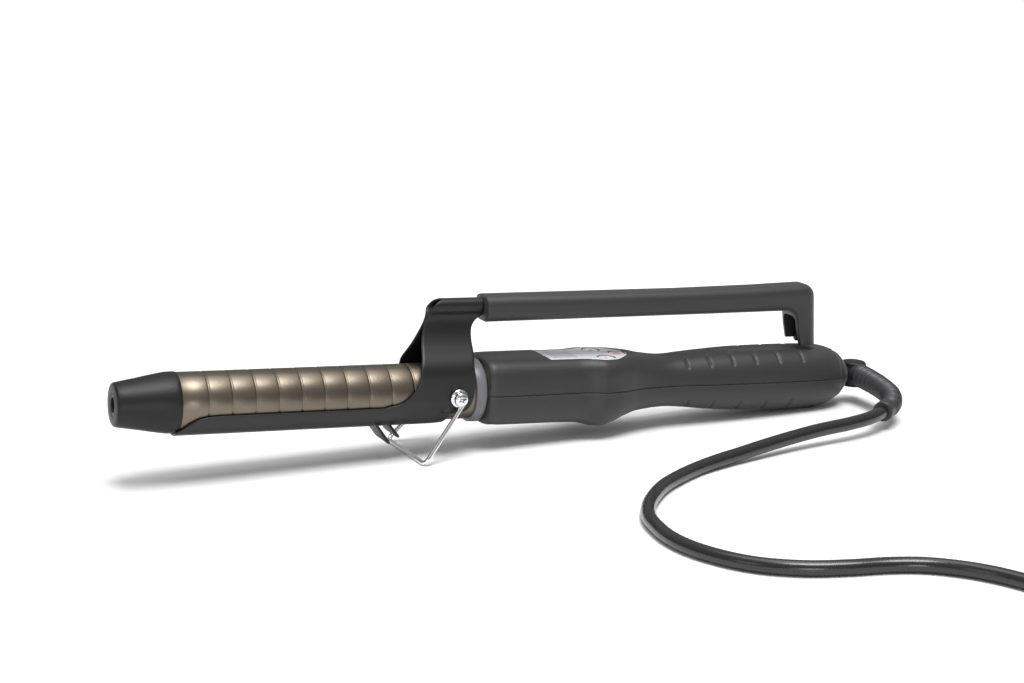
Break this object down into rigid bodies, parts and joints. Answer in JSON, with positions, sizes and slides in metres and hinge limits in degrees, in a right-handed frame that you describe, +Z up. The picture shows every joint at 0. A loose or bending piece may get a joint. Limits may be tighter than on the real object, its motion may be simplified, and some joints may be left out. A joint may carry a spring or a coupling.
{
  "type": "curling iron",
  "caption": "Lever-operated curling iron: grooved barrel with cool tip, clamp shell and lever grip, control panel, wire stand and coiled mains lead.",
  "frame": {"origin": "middle of the iron without its lead, on the table it stands on", "axes": "+X from the cool tip to the tail along the table, +Y across, away from the side the lead lies on, +Z up; the barrel is tilted 3.65 degrees, tip up"},
  "size_m": [0.3944, 0.3612, 0.0674],
  "materials": {
    "barrel_metal": "satin bronze-toned anodised",
    "tip_plastic": "fine matte",
    "ceramic": "fired",
    "aluminium": "extruded",
    "brass": "plain",
    "steel": "plain",
    "chrome": "bright",
    "collar_plastic": "satin",
    "clamp_paint": "black satin",
    "soft_plastic": "soft touch",
    "bezel_plastic": "silver lacquer",
    "lens": "clear tinted",
    "board": "laminate",
    "pad_rubber": "matte",
    "button_plastic": "satin",
    "lead_sleeve": "plain",
    "relief_rubber": "matte",
    "cord_pvc": "glossy",
    "plug_plastic": "moulded",
    "brass_nickel": "nickel plated"
  },
  "bodies": {
    "iron": {"barrel_tube": "barrel_metal", "cool_tip": "tip_plastic", "heater_core": "ceramic", "heater_sleeve": "aluminium", "temperature_sensor": "brass", "pivot_bush": "steel", "pivot_screw_near": "chrome", "pivot_screw_far": "chrome", "pivot_washers": "chrome", "front_collar": "collar_plastic", "handle_upper": "soft_plastic", "handle_lower": "soft_plastic", "handle_screws": "steel", "panel_bezel": "bezel_plastic", "lcd_window": "lens", "lcd_module": "tip_plastic", "circuit_board": "board", "button_pad": "pad_rubber", "inner_leads": "lead_sleeve", "cable_clamp": "tip_plastic", "swivel_knuckle": "tip_plastic", "strain_relief": "relief_rubber", "cord_tube": "cord_pvc", "cord_coil": "cord_pvc", "plug_lead": "cord_pvc", "plug_body": "plug_plastic", "plug_pins": "brass_nickel"},
    "clamp": {"clamp_plate": "clamp_paint", "lever_arm": "clamp_paint", "lever_grip": "soft_plastic", "stand_clip": "tip_plastic"},
    "stand": {"stand_wire": "chrome"},
    "power_key": {"button_power": "button_plastic"},
    "plus_key": {"button_plus": "button_plastic"},
    "minus_key": {"button_minus": "button_plastic"}
  },
  "joints": [
    {"name": "clamp_hinge", "type": "hinge", "parent": "iron", "child": "clamp", "pos_m": [-0.03396, 0, 0.0263], "axis": [0, -1, 0], "range_deg": [0, 20]},
    {"name": "stand_hinge", "type": "hinge", "parent": "clamp", "child": "stand", "pos_m": [-0.03396, 0, 0.0263], "axis": [0, 1, 0], "range_deg": [0, 22]},
    {"name": "power_press", "type": "slide", "parent": "iron", "child": "power_key", "axis": [-0.0637, 0, -0.998], "range_m": [0, 0.0005], "stiffness_N_per_m": 2000},
    {"name": "plus_press", "type": "slide", "parent": "iron", "child": "plus_key", "axis": [-0.0637, 0, -0.998], "range_m": [0, 0.0005], "stiffness_N_per_m": 2000},
    {"name": "minus_press", "type": "slide", "parent": "iron", "child": "minus_key", "axis": [-0.0637, 0, -0.998], "range_m": [0, 0.0005], "stiffness_N_per_m": 2000}
  ]
}
